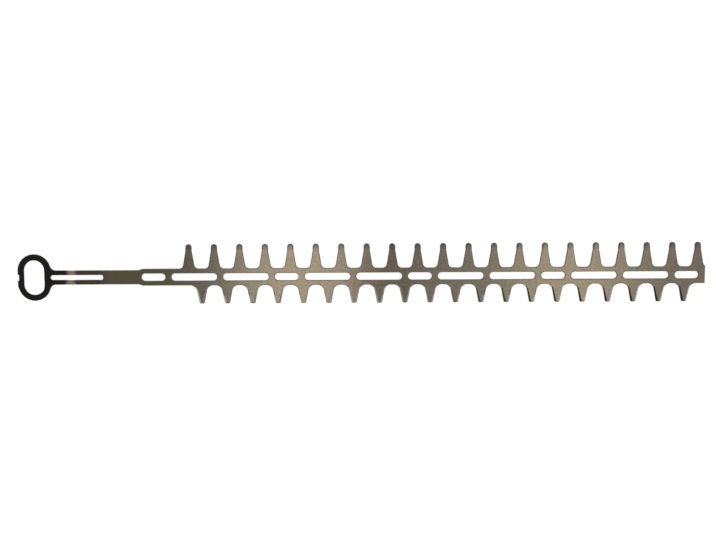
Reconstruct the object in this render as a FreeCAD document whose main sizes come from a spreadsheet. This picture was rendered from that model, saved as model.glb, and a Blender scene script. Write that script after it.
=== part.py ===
"""Hedge trimmer blade: one flat steel plate with a drive eye, comb teeth and ground cutter teeth.

Lengths are millimetres. The origin is the middle of the drive eye on the sliding face, +X runs along the
blade to its square end, +Y points to the comb teeth and +Z out of the ground face.
"""

import FreeCAD, Part
import math
import os

import Sketcher

NODE = "trimmer_blade"

SIZES = [
    ("plate_thickness", 2.5, "thickness of the steel plate"),
    ("eye_width", 24.2, "drive eye opening along the blade"),
    ("eye_straight", 16.8, "straight sides of the drive eye, across the blade"),
    ("eye_wall", 7.1, "width of the ring round the drive eye"),
    ("eye_fillet", 7.4, "hollow radius from the ring into the neck"),
    ("notch_width", 6.4, "floor of the notch in the ring's nose"),
    ("notch_depth", 1.5, "depth of that notch"),
    ("notch_flare", 0.7, "how far each end of the notch leans out over its depth"),
    ("neck_width", 16.7, "width of the neck"),
    ("neck_slot_length", 62.2, "length of the slot in the neck"),
    ("neck_slot_width", 5.8, "width of the slot in the neck"),
    ("neck_slot_corner", 2.0, "corner radius at the blunt end of the neck slot"),
    ("bridge_length", 41.5, "solid stretch from the neck slot to the shoulder"),
    ("shoulder_length", 5.2, "slope from the neck up to the body"),
    ("body_width", 19.9, "width of the body between the two rows of teeth"),
    ("guide_lead", 4.0, "from the start of the shoulder to the first guide slot"),
    ("guide_slot_length", 28.0, "length of a guide slot"),
    ("guide_count", 5, "number of guide slots"),
    ("slot_width", 8.6, "width of the guide slots and the relief slots"),
    ("slot_web", 7.2, "web between neighbouring slots"),
    ("end_wall", 7.7, "wall between the last guide slot and the blade's end"),
    ("tooth_pitch", 30.0, "spacing of the teeth"),
    ("comb_count", 21, "number of comb teeth"),
    ("comb_lead", 59.8, "from the start of the shoulder to the first comb tooth"),
    ("end_margin", 8.9, "from the last comb tooth to the blade's end"),
    ("root_overlap", 2.0, "how deep a tooth runs into the body"),
    ("comb_height", 28.9, "height of a comb tooth over the body"),
    ("comb_tip_width", 7.4, "width of a comb tooth's parallel finger"),
    ("comb_finger", 8.2, "length of that finger, with its round end"),
    ("comb_root_width", 14.5, "width of a comb tooth where it meets the body"),
    ("comb_root_fillet", 5.0, "hollow radius at a comb tooth's root"),
    ("blunt_width", 1.5, "blunted rim of a comb tooth's tip, across its face"),
    ("blunt_depth", 0.9, "depth of that rim at the edge"),
    ("blunt_exit", 12.0, "radius on which the rim runs out along the finger"),
    ("blunt_turn", 33.0, "degrees over which the rim runs out"),
    ("cutter_height", 21.6, "height of a cutter tooth over the body"),
    ("cutter_tip_width", 6.0, "width of a cutter tooth's square end"),
    ("cutter_tip_corner", 1.3, "corner radius of that end"),
    ("cutter_root_width", 14.3, "width of a cutter tooth where it meets the body"),
    ("cutter_root_fillet", 7.7, "hollow radius at a cutter tooth's root"),
    ("grind_width", 2.35, "ground bevel on a cutter flank at its tip, across its face"),
    ("grind_taper", 0.9, "how much narrower that bevel is at the tooth's root"),
    ("grind_land", 0.5, "upright land left under the ground bevel"),
    ("grind_exit", 3.0, "radius on which the grind leaves the root"),
    ("tool_clearance", 1.0, "how far a cutting tool reaches past the steel"),
]

DERIVED = [
    ("ring_radius", "eye_width / 2 + eye_wall"),
    ("shoulder_start", "ring_radius + neck_slot_length + bridge_length"),
    ("first_guide", "shoulder_start + guide_lead + guide_slot_length / 2"),
    ("first_comb", "shoulder_start + comb_lead"),
    ("first_cutter", "first_comb + tooth_pitch / 2"),
    ("cutter_count", "comb_count - 1"),
    ("blade_end", "first_comb + (comb_count - 1) * tooth_pitch + end_margin"),
    ("strip_end", "blade_end + tooth_pitch / 2"),
    ("guide_spacing", "(blade_end - end_wall - guide_slot_length / 2 - first_guide) / (guide_count - 1)"),
    ("relief_count", "guide_count - 1"),
    ("relief_length", "(guide_spacing - guide_slot_length - 3 * slot_web) / 2"),
    ("first_relief", "first_guide + guide_slot_length / 2 + slot_web + relief_length / 2"),
    ("second_relief", "first_relief + relief_length + slot_web"),
    ("comb_slope", "(comb_root_width - comb_tip_width) / 2 / (comb_height - comb_finger)"),
    ("comb_lean", "atan(comb_slope)"),
    ("comb_reach", "comb_root_width / 2 + comb_root_fillet * (1 - sin(comb_lean)) / cos(comb_lean)"),
    ("comb_tip_centre", "body_width / 2 + comb_height - comb_tip_width / 2"),
    ("cutter_slope", "(cutter_root_width - cutter_tip_width) / 2 / cutter_height"),
    ("cutter_lean", "atan(cutter_slope)"),
    ("cutter_inset", "(1 - sin(cutter_lean)) / cos(cutter_lean)"),
    ("cutter_reach", "cutter_root_width / 2 + cutter_root_fillet * cutter_inset"),
    ("cutter_flat", "cutter_tip_width / 2 - cutter_tip_corner * cutter_inset"),
    ("grind_root", "cutter_root_fillet * (1 - sin(cutter_lean))"),
    ("grind_root_reach", "cutter_root_width / 2 - grind_root * cutter_slope + grind_taper"),
    ("grind_tip", "cutter_height + tool_clearance"),
    ("grind_tip_reach", "cutter_root_width / 2 - grind_tip * cutter_slope"),
    ("grind_lean", "atan((grind_root_reach - grind_tip_reach) / (grind_tip - grind_root))"),
    ("grind_leave", "grind_root - grind_exit * (1 - sin(grind_lean))"),
    ("grind_leave_reach", "grind_root_reach + grind_exit * cos(grind_lean)"),
    ("grind_end_reach", "grind_leave_reach + grind_width + tool_clearance"),
]

# Places on a sketch's edge, and a sketch's own two axes, by the numbers that its constraints use.
FIRST, LAST, CENTRE = range(1, 4)
X_LINE, Y_LINE = range(-1, -3, -1)
ORIGIN = (X_LINE, FIRST)


def line(start, end):
    """Returns a straight edge between two (x, y) pairs."""
    return Part.LineSegment(FreeCAD.Vector(*start, 0), FreeCAD.Vector(*end, 0))


def arc(centre, radius, first_degrees, last_degrees):
    """Returns an arc that runs anticlockwise between two directions."""
    circle = Part.Circle(FreeCAD.Vector(*centre, 0), FreeCAD.Vector(0, 0, 1), radius)
    return Part.ArcOfCircle(circle, math.radians(first_degrees), math.radians(last_degrees))


def tie(sketch, kind, *joints):
    """Adds constraints of one kind that have no value, such as Tangent or Horizontal."""
    for joint in joints:
        sketch.addConstraint(Sketcher.Constraint(kind, *joint))


def close(sketch, kind, edges):
    """Joins the edges of a closed outline, the end of each one to the start of the next."""
    following = [*edges[1:], edges[0]]
    tie(sketch, kind, *((edge, LAST, after, FIRST) for edge, after in zip(edges, following)))


class Blade:
    """The blade's body, the sheet that drives it, and the steps that its features share."""

    def __init__(self, document):
        """Makes the sheet of sizes and an empty body in a document."""
        self.document = document
        self.sheet = document.addObject("Spreadsheet::Sheet", "sizes")
        rows = [(name, str(value), note) for name, value, note in SIZES]
        rows += [(name, "=" + formula, "follows from the sizes above") for name, formula in DERIVED]
        for row, (name, content, note) in enumerate(rows, start=1):
            self.sheet.set(f"A{row}", note)
            self.sheet.set(f"B{row}", content)
            self.sheet.setAlias(f"B{row}", name)
        document.recompute()
        self.body = document.addObject("PartDesign::Body", NODE)
        self.body.Label = NODE
        self.origin = {feature.Role: feature for feature in self.body.Origin.OriginFeatures}
        self.volume = 0.0

    def size(self, formula):
        """Returns the number that a formula over the sheet's cells stands for."""
        return float(self.sheet.evalExpression(formula))

    def sketch(self, name, plane="XY_Plane", offset=None):
        """Returns a new sketch on one of the body's own planes, or at an offset from it."""
        sketch = self.body.newObject("Sketcher::SketchObject", name)
        sketch.AttachmentSupport = [(self.origin[plane], "")]
        sketch.MapMode = "FlatFace"
        if offset:
            sketch.setExpression("AttachmentOffset.Base.z", offset)
        return sketch

    def dimension(self, sketch, name, kind, *places, formula):
        """Adds a named dimension to a sketch and binds it to the sheet."""
        index = sketch.addConstraint(Sketcher.Constraint(kind, *places, self.size(formula)))
        sketch.renameConstraint(index, name)
        sketch.setExpression("Constraints." + name, formula)

    def settle(self, feature, adds):
        """Makes a feature the body's tip and checks that it added, or removed, steel."""
        self.body.Tip = feature
        self.document.recompute()
        gain = self.body.Shape.Volume - self.volume
        if gain == 0 or (gain > 0) != adds:
            raise RuntimeError(f"{feature.Name} changed the volume by {gain:.3f} cubic millimetres")
        self.volume += gain
        return feature

    def pad(self, sketch):
        """Raises a sketch to the plate's thickness."""
        pad = self.body.newObject("PartDesign::Pad", sketch.Name + "_pad")
        pad.Profile = sketch
        pad.setExpression("Length", "sizes.plate_thickness")
        return self.settle(pad, adds=True)

    def punch(self, sketch):
        """Cuts a sketch right through the plate."""
        pocket = self.body.newObject("PartDesign::Pocket", sketch.Name + "_cut")
        pocket.Profile = sketch
        pocket.SideType = "Symmetric"
        pocket.Type = "ThroughAll"
        return self.settle(pocket, adds=False)

    def grind(self, path, profile):
        """Cuts away what a profile sweeps along a path of joined edges."""
        sweep = self.body.newObject("PartDesign::SubtractivePipe", path.Name + "_grind")
        sweep.Profile = profile
        sweep.Spine = (path, [f"Edge{number + 1}" for number in range(path.GeometryCount)])
        return self.settle(sweep, adds=False)

    def repeat(self, name, features, spacing, count, adds):
        """Repeats features along the blade."""
        row = self.body.newObject("PartDesign::LinearPattern", name)
        row.Originals = features
        row.Direction = (self.origin["X_Axis"], [""])
        row.Mode = "Spacing"
        row.setExpression("Offset", spacing)
        row.setExpression("Occurrences", count)
        return self.settle(row, adds)


def add_blank(blade):
    """Pads half the outline of ring, neck and body strip, and mirrors it across the blade."""
    ring = blade.size("sizes.ring_radius")
    straight = blade.size("sizes.eye_straight / 2")
    hollow = blade.size("sizes.eye_fillet")
    neck = blade.size("sizes.neck_width / 2")
    body = blade.size("sizes.body_width / 2")
    shoulder = blade.size("sizes.shoulder_start")
    shoulder_top = shoulder + blade.size("sizes.shoulder_length")
    end = blade.size("sizes.strip_end")
    rise = neck + hollow - straight
    reach = math.sqrt((ring + hollow) ** 2 - rise**2)
    turn = math.degrees(math.atan2(rise, reach))
    sketch = blade.sketch("blank")
    sketch.addGeometry([
        line((-ring, 0), (-ring, straight)),
        arc((0, straight), ring, turn, 180),
        arc((reach, neck + hollow), hollow, 180 + turn, 270),
        line((reach, neck), (shoulder, neck)),
        line((shoulder, neck), (shoulder_top, body)),
        line((shoulder_top, body), (end, body)),
        line((end, body), (end, 0)),
        line((end, 0), (-ring, 0)),
    ])
    nose, ring_arc, hollow_arc, neck_edge, slope, body_edge, end_edge, middle = range(sketch.GeometryCount)
    tie(sketch, "Tangent", (nose, LAST, ring_arc, LAST), (ring_arc, FIRST, hollow_arc, FIRST),
        (hollow_arc, LAST, neck_edge, FIRST))
    tie(sketch, "Coincident", (neck_edge, LAST, slope, FIRST), (slope, LAST, body_edge, FIRST),
        (body_edge, LAST, end_edge, FIRST), (end_edge, LAST, middle, FIRST), (middle, LAST, nose, FIRST))
    tie(sketch, "Vertical", (nose,), (end_edge,))
    tie(sketch, "Horizontal", (neck_edge,), (body_edge,))
    tie(sketch, "PointOnObject", (ring_arc, CENTRE, Y_LINE), (nose, FIRST, X_LINE),
        (end_edge, LAST, X_LINE))
    blade.dimension(sketch, "ring", "Radius", ring_arc, formula="sizes.ring_radius")
    blade.dimension(sketch, "straight", "DistanceY", *ORIGIN, ring_arc, CENTRE,
                    formula="sizes.eye_straight / 2")
    blade.dimension(sketch, "hollow", "Radius", hollow_arc, formula="sizes.eye_fillet")
    blade.dimension(sketch, "neck", "DistanceY", *ORIGIN, neck_edge, LAST, formula="sizes.neck_width / 2")
    blade.dimension(sketch, "shoulder", "DistanceX", *ORIGIN, neck_edge, LAST,
                    formula="sizes.shoulder_start")
    blade.dimension(sketch, "slope", "DistanceX", slope, FIRST, slope, LAST,
                    formula="sizes.shoulder_length")
    blade.dimension(sketch, "body", "DistanceY", *ORIGIN, body_edge, LAST, formula="sizes.body_width / 2")
    blade.dimension(sketch, "end", "DistanceX", *ORIGIN, body_edge, LAST, formula="sizes.strip_end")
    half = blade.pad(sketch)
    mirror = blade.body.newObject("PartDesign::Mirrored", "blank_mirror")
    mirror.Originals = [half]
    mirror.MirrorPlane = (blade.origin["XZ_Plane"], [""])
    blade.settle(mirror, adds=True)


def cut_eye(blade):
    """Cuts the oblong drive eye, whose long side lies across the blade."""
    half = blade.size("sizes.eye_width / 2")
    straight = blade.size("sizes.eye_straight / 2")
    sketch = blade.sketch("drive_eye")
    sketch.addGeometry([
        line((half, -straight), (half, straight)),
        arc((0, straight), half, 0, 180),
        line((-half, straight), (-half, -straight)),
        arc((0, -straight), half, 180, 360),
    ])
    edges = range(sketch.GeometryCount)
    right, upper, left, lower = edges
    close(sketch, "Tangent", edges)
    tie(sketch, "Vertical", (right,), (left,))
    tie(sketch, "PointOnObject", (upper, CENTRE, Y_LINE))
    blade.dimension(sketch, "upper", "DistanceY", *ORIGIN, upper, CENTRE, formula="sizes.eye_straight / 2")
    blade.dimension(sketch, "straight", "DistanceY", lower, CENTRE, upper, CENTRE,
                    formula="sizes.eye_straight")
    blade.dimension(sketch, "end", "Radius", upper, formula="sizes.eye_width / 2")
    blade.punch(sketch)


def cut_nose_notch(blade):
    """Cuts the shallow notch with leaning ends in the ring's nose."""
    floor = -blade.size("sizes.ring_radius - sizes.notch_depth")
    mouth = -blade.size("sizes.ring_radius + sizes.notch_depth")
    half_floor = blade.size("sizes.notch_width / 2")
    half_mouth = blade.size("sizes.notch_width / 2 + 2 * sizes.notch_flare")
    sketch = blade.sketch("nose_notch")
    sketch.addGeometry([
        line((floor, -half_floor), (floor, half_floor)),
        line((floor, half_floor), (mouth, half_mouth)),
        line((mouth, half_mouth), (mouth, -half_mouth)),
        line((mouth, -half_mouth), (floor, -half_floor)),
    ])
    edges = range(sketch.GeometryCount)
    inner, _, outer, _ = edges
    close(sketch, "Coincident", edges)
    tie(sketch, "Symmetric", (inner, FIRST, inner, LAST, X_LINE), (outer, FIRST, outer, LAST, X_LINE))
    blade.dimension(sketch, "floor", "DistanceX", inner, LAST, *ORIGIN,
                    formula="sizes.ring_radius - sizes.notch_depth")
    blade.dimension(sketch, "mouth", "DistanceX", outer, FIRST, *ORIGIN,
                    formula="sizes.ring_radius + sizes.notch_depth")
    blade.dimension(sketch, "floor_half", "DistanceY", *ORIGIN, inner, LAST,
                    formula="sizes.notch_width / 2")
    blade.dimension(sketch, "mouth_half", "DistanceY", *ORIGIN, outer, FIRST,
                    formula="sizes.notch_width / 2 + 2 * sizes.notch_flare")
    blade.punch(sketch)


def cut_neck_slot(blade):
    """Cuts the slot in the neck, round at the ring and blunt towards the body."""
    start = blade.size("sizes.ring_radius")
    end = start + blade.size("sizes.neck_slot_length")
    half = blade.size("sizes.neck_slot_width / 2")
    corner = blade.size("sizes.neck_slot_corner")
    sketch = blade.sketch("neck_slot")
    sketch.addGeometry([
        line((start + half, -half), (end - corner, -half)),
        arc((end - corner, corner - half), corner, -90, 0),
        line((end, corner - half), (end, half - corner)),
        arc((end - corner, half - corner), corner, 0, 90),
        line((end - corner, half), (start + half, half)),
        arc((start + half, 0), half, 90, 270),
    ])
    edges = range(sketch.GeometryCount)
    lower, lower_corner, blunt, upper_corner, upper, ring_end = edges
    close(sketch, "Tangent", edges)
    tie(sketch, "Horizontal", (lower,), (upper,))
    tie(sketch, "Vertical", (blunt,))
    tie(sketch, "Equal", (lower_corner, upper_corner))
    tie(sketch, "PointOnObject", (ring_end, CENTRE, X_LINE))
    blade.dimension(sketch, "start", "DistanceX", *ORIGIN, ring_end, CENTRE,
                    formula="sizes.ring_radius + sizes.neck_slot_width / 2")
    blade.dimension(sketch, "round", "Radius", ring_end, formula="sizes.neck_slot_width / 2")
    blade.dimension(sketch, "blunt", "DistanceX", *ORIGIN, blunt, FIRST,
                    formula="sizes.ring_radius + sizes.neck_slot_length")
    blade.dimension(sketch, "corner", "Radius", upper_corner, formula="sizes.neck_slot_corner")
    blade.punch(sketch)


def draw_slot(blade, sketch, name, centre, length, width):
    """Draws a slot with round ends along the middle of the blade."""
    middle = blade.size(centre)
    half_width = blade.size(width + " / 2")
    half_run = blade.size(f"({length} - {width}) / 2")
    start = sketch.GeometryCount
    sketch.addGeometry([
        line((middle - half_run, -half_width), (middle + half_run, -half_width)),
        arc((middle + half_run, 0), half_width, -90, 90),
        line((middle + half_run, half_width), (middle - half_run, half_width)),
        arc((middle - half_run, 0), half_width, 90, 270),
    ])
    edges = range(start, sketch.GeometryCount)
    lower, right, upper, left = edges
    close(sketch, "Tangent", edges)
    tie(sketch, "Horizontal", (lower,), (upper,))
    tie(sketch, "PointOnObject", (left, CENTRE, X_LINE))
    blade.dimension(sketch, name + "_start", "DistanceX", *ORIGIN, left, CENTRE,
                    formula=f"{centre} - ({length} - {width}) / 2")
    blade.dimension(sketch, name + "_run", "DistanceX", left, CENTRE, right, CENTRE,
                    formula=f"{length} - {width}")
    blade.dimension(sketch, name + "_end", "Radius", right, formula=f"{width} / 2")


def cut_slots(blade):
    """Cuts the row of guide slots and the pairs of relief slots between them."""
    guide = blade.sketch("guide_slot")
    draw_slot(blade, guide, "guide", "sizes.first_guide", "sizes.guide_slot_length", "sizes.slot_width")
    guide_cut = blade.punch(guide)
    blade.repeat("guide_row", [guide_cut], "sizes.guide_spacing", "sizes.guide_count", adds=False)
    relief = blade.sketch("relief_slots")
    draw_slot(blade, relief, "near", "sizes.first_relief", "sizes.relief_length", "sizes.slot_width")
    draw_slot(blade, relief, "far", "sizes.second_relief", "sizes.relief_length", "sizes.slot_width")
    relief_cut = blade.punch(relief)
    blade.repeat("relief_row", [relief_cut], "sizes.guide_spacing", "sizes.relief_count", adds=False)


def pad_comb_tooth(blade):
    """Pads the first comb tooth: a parallel finger with a round end on a tapered, hollow root."""
    centre = blade.size("sizes.first_comb")
    half_tip = blade.size("sizes.comb_tip_width / 2")
    reach = blade.size("sizes.comb_reach")
    lean = blade.size("sizes.comb_lean")
    hollow = blade.size("sizes.comb_root_fillet")
    edge = blade.size("sizes.body_width / 2")
    base = edge - blade.size("sizes.root_overlap")
    top = blade.size("sizes.comb_tip_centre")
    kink = top - blade.size("sizes.comb_finger - sizes.comb_tip_width / 2")
    flank = reach - hollow * math.cos(math.radians(lean))
    start = edge + hollow * (1 - math.sin(math.radians(lean)))
    sketch = blade.sketch("comb_tooth")
    sketch.addGeometry([
        arc((centre - reach, edge + hollow), hollow, 270, 360 - lean),
        line((centre - flank, start), (centre - half_tip, kink)),
        line((centre - half_tip, kink), (centre - half_tip, top)),
        arc((centre, top), half_tip, 0, 180),
        line((centre + half_tip, top), (centre + half_tip, kink)),
        line((centre + half_tip, kink), (centre + flank, start)),
        arc((centre + reach, edge + hollow), hollow, 180 + lean, 270),
        line((centre + reach, edge), (centre + reach, base)),
        line((centre + reach, base), (centre - reach, base)),
        line((centre - reach, base), (centre - reach, edge)),
    ])
    (left_root, left, left_finger, tip, right_finger, right, right_root, right_drop, foot,
     left_drop) = range(sketch.GeometryCount)
    tie(sketch, "Tangent", (left_root, LAST, left, FIRST), (left_finger, LAST, tip, LAST),
        (tip, FIRST, right_finger, FIRST), (right, LAST, right_root, FIRST))
    tie(sketch, "Coincident", (left, LAST, left_finger, FIRST), (right_finger, LAST, right, FIRST),
        (right_root, LAST, right_drop, FIRST), (right_drop, LAST, foot, FIRST),
        (foot, LAST, left_drop, FIRST), (left_drop, LAST, left_root, FIRST))
    tie(sketch, "Vertical", (left_finger,), (right_finger,), (left_drop,), (right_drop,),
        (left_root, FIRST, left_root, CENTRE), (right_root, LAST, right_root, CENTRE))
    tie(sketch, "Horizontal", (foot,), (left_root, FIRST, right_root, LAST))
    tie(sketch, "Equal", (left_finger, right_finger), (left_root, right_root))
    blade.dimension(sketch, "place", "DistanceX", *ORIGIN, tip, CENTRE, formula="sizes.first_comb")
    blade.dimension(sketch, "top", "DistanceY", *ORIGIN, tip, CENTRE, formula="sizes.comb_tip_centre")
    blade.dimension(sketch, "tip", "Radius", tip, formula="sizes.comb_tip_width / 2")
    blade.dimension(sketch, "finger", "DistanceY", left_finger, FIRST, left_finger, LAST,
                    formula="sizes.comb_finger - sizes.comb_tip_width / 2")
    blade.dimension(sketch, "hollow", "Radius", left_root, formula="sizes.comb_root_fillet")
    blade.dimension(sketch, "edge", "DistanceY", *ORIGIN, left_root, FIRST, formula="sizes.body_width / 2")
    blade.dimension(sketch, "foot", "DistanceY", *ORIGIN, foot, FIRST,
                    formula="sizes.body_width / 2 - sizes.root_overlap")
    blade.dimension(sketch, "left", "DistanceX", *ORIGIN, left_root, FIRST,
                    formula="sizes.first_comb - sizes.comb_reach")
    blade.dimension(sketch, "right", "DistanceX", *ORIGIN, right_root, LAST,
                    formula="sizes.first_comb + sizes.comb_reach")
    return blade.pad(sketch)


def pad_cutter_tooth(blade):
    """Pads the first cutter tooth: tapered, with hollow roots, half a pitch on from a comb tooth."""
    centre = blade.size("sizes.first_cutter")
    reach = blade.size("sizes.cutter_reach")
    flat = blade.size("sizes.cutter_flat")
    lean = blade.size("sizes.cutter_lean")
    hollow = blade.size("sizes.cutter_root_fillet")
    corner = blade.size("sizes.cutter_tip_corner")
    edge = blade.size("sizes.body_width / 2")
    base = edge - blade.size("sizes.root_overlap")
    end = edge + blade.size("sizes.cutter_height")
    cosine = math.cos(math.radians(lean))
    sine = math.sin(math.radians(lean))
    root = (reach - hollow * cosine, edge + hollow * (1 - sine))
    shoulder = (flat + corner * cosine, end - corner * (1 - sine))
    sketch = blade.sketch("cutter_tooth")
    sketch.addGeometry([
        arc((centre - reach, -edge - hollow), hollow, lean, 90),
        line((centre - root[0], -root[1]), (centre - shoulder[0], -shoulder[1])),
        arc((centre - flat, corner - end), corner, 180 + lean, 270),
        line((centre - flat, -end), (centre + flat, -end)),
        arc((centre + flat, corner - end), corner, 270, 360 - lean),
        line((centre + shoulder[0], -shoulder[1]), (centre + root[0], -root[1])),
        arc((centre + reach, -edge - hollow), hollow, 90, 180 - lean),
        line((centre + reach, -edge), (centre + reach, -base)),
        line((centre + reach, -base), (centre - reach, -base)),
        line((centre - reach, -base), (centre - reach, -edge)),
    ])
    (left_root, left, left_corner, tip, right_corner, right, right_root, right_drop, foot,
     left_drop) = range(sketch.GeometryCount)
    tie(sketch, "Tangent", (left_root, FIRST, left, FIRST), (left, LAST, left_corner, FIRST),
        (left_corner, LAST, tip, FIRST), (tip, LAST, right_corner, FIRST),
        (right_corner, LAST, right, FIRST), (right, LAST, right_root, LAST))
    tie(sketch, "Coincident", (right_root, FIRST, right_drop, FIRST), (right_drop, LAST, foot, FIRST),
        (foot, LAST, left_drop, FIRST), (left_drop, LAST, left_root, LAST))
    tie(sketch, "Vertical", (left_drop,), (right_drop,), (left_root, LAST, left_root, CENTRE),
        (right_root, FIRST, right_root, CENTRE))
    tie(sketch, "Horizontal", (tip,), (foot,), (left_root, LAST, right_root, FIRST))
    tie(sketch, "Equal", (left_root, right_root), (left_corner, right_corner))
    blade.dimension(sketch, "hollow", "Radius", left_root, formula="sizes.cutter_root_fillet")
    blade.dimension(sketch, "corner", "Radius", left_corner, formula="sizes.cutter_tip_corner")
    blade.dimension(sketch, "edge", "DistanceY", left_root, LAST, *ORIGIN, formula="sizes.body_width / 2")
    blade.dimension(sketch, "foot", "DistanceY", foot, FIRST, *ORIGIN,
                    formula="sizes.body_width / 2 - sizes.root_overlap")
    blade.dimension(sketch, "end", "DistanceY", tip, FIRST, *ORIGIN,
                    formula="sizes.body_width / 2 + sizes.cutter_height")
    blade.dimension(sketch, "left", "DistanceX", *ORIGIN, left_root, LAST,
                    formula="sizes.first_cutter - sizes.cutter_reach")
    blade.dimension(sketch, "right", "DistanceX", *ORIGIN, right_root, FIRST,
                    formula="sizes.first_cutter + sizes.cutter_reach")
    blade.dimension(sketch, "flat_left", "DistanceX", *ORIGIN, tip, FIRST,
                    formula="sizes.first_cutter - sizes.cutter_flat")
    blade.dimension(sketch, "flat_right", "DistanceX", *ORIGIN, tip, LAST,
                    formula="sizes.first_cutter + sizes.cutter_flat")
    return blade.pad(sketch)


def draw_wedge(blade, sketch, edge, width, depth, outward):
    """Draws a grinding wheel's wedge across a path, over the edge that it wears away.

    Args:
        blade: the blade that the sketch belongs to.
        sketch: a sketch on the YZ plane.
        edge: formula of the path's place along Y.
        width: formula of the bevel's width on the plate's face.
        depth: formula of the bevel's depth at the edge.
        outward: 1 where the open side of the edge is towards +Y, and -1 where it is towards -Y.
    """
    clearance = "sizes.tool_clearance"
    level = f"(sizes.plate_thickness - {depth})"
    top = f"(sizes.plate_thickness + {clearance})"
    inner = f"({width} * (1 + {clearance} / {depth}))"
    place, low, high, reach = (blade.size(formula) for formula in (edge, level, top, inner))
    open_side = place + outward * blade.size(clearance)
    closed_side = place - outward * reach
    sketch.addGeometry([
        line((place, low), (open_side, low)),
        line((open_side, low), (open_side, high)),
        line((open_side, high), (closed_side, high)),
        line((closed_side, high), (place, low)),
    ])
    edges = range(sketch.GeometryCount)
    floor, outer, lid, _ = edges
    close(sketch, "Coincident", edges)
    tie(sketch, "Horizontal", (floor,), (lid,))
    tie(sketch, "Vertical", (outer,))
    from_axis = (*ORIGIN, floor, FIRST) if place > 0 else (floor, FIRST, *ORIGIN)
    across = (floor, FIRST, floor, LAST) if outward > 0 else (floor, LAST, floor, FIRST)
    along = (lid, LAST, floor, FIRST) if outward > 0 else (floor, FIRST, lid, LAST)
    sign = "" if place > 0 else "-"
    blade.dimension(sketch, "edge", "DistanceX", *from_axis, formula=f"{sign}({edge})")
    blade.dimension(sketch, "level", "DistanceY", *ORIGIN, floor, FIRST, formula=level)
    blade.dimension(sketch, "open", "DistanceX", *across, formula=clearance)
    blade.dimension(sketch, "inner", "DistanceX", *along, formula=inner)
    blade.dimension(sketch, "top", "DistanceY", *ORIGIN, lid, FIRST, formula=top)


def blunt_comb_tip(blade):
    """Blunts the rim of the first comb tooth's round end, running out along the finger's sides."""
    centre = blade.size("sizes.first_comb")
    top = blade.size("sizes.comb_tip_centre")
    half = blade.size("sizes.comb_tip_width / 2")
    leave = blade.size("sizes.blunt_exit")
    turn = blade.size("sizes.blunt_turn")
    path = blade.sketch("comb_rim")
    path.addGeometry([
        arc((centre + half + leave, top), leave, 180, 180 + turn),
        arc((centre, top), half, 0, 180),
        arc((centre - half - leave, top), leave, -turn, 0),
    ])
    right, tip, left = range(path.GeometryCount)
    tie(path, "Tangent", (right, FIRST, tip, FIRST), (tip, LAST, left, LAST))
    tie(path, "Horizontal", (right, CENTRE, tip, CENTRE), (left, CENTRE, tip, CENTRE))
    tie(path, "Equal", (right, left))
    tie(path, "Horizontal", (right, LAST, left, FIRST))
    blade.dimension(path, "place", "DistanceX", *ORIGIN, tip, CENTRE, formula="sizes.first_comb")
    blade.dimension(path, "top", "DistanceY", *ORIGIN, tip, CENTRE, formula="sizes.comb_tip_centre")
    blade.dimension(path, "tip", "Radius", tip, formula="sizes.comb_tip_width / 2")
    blade.dimension(path, "leave", "Radius", right, formula="sizes.blunt_exit")
    blade.dimension(path, "drop", "DistanceY", right, LAST, right, FIRST,
                    formula="sizes.blunt_exit * sin(sizes.blunt_turn)")
    wedge = blade.sketch("comb_rim_wedge", "YZ_Plane", offset="sizes.first_comb")
    draw_wedge(blade, wedge, "sizes.body_width / 2 + sizes.comb_height", "sizes.blunt_width",
               "sizes.blunt_depth", outward=1)
    return blade.grind(path, wedge)


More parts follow.
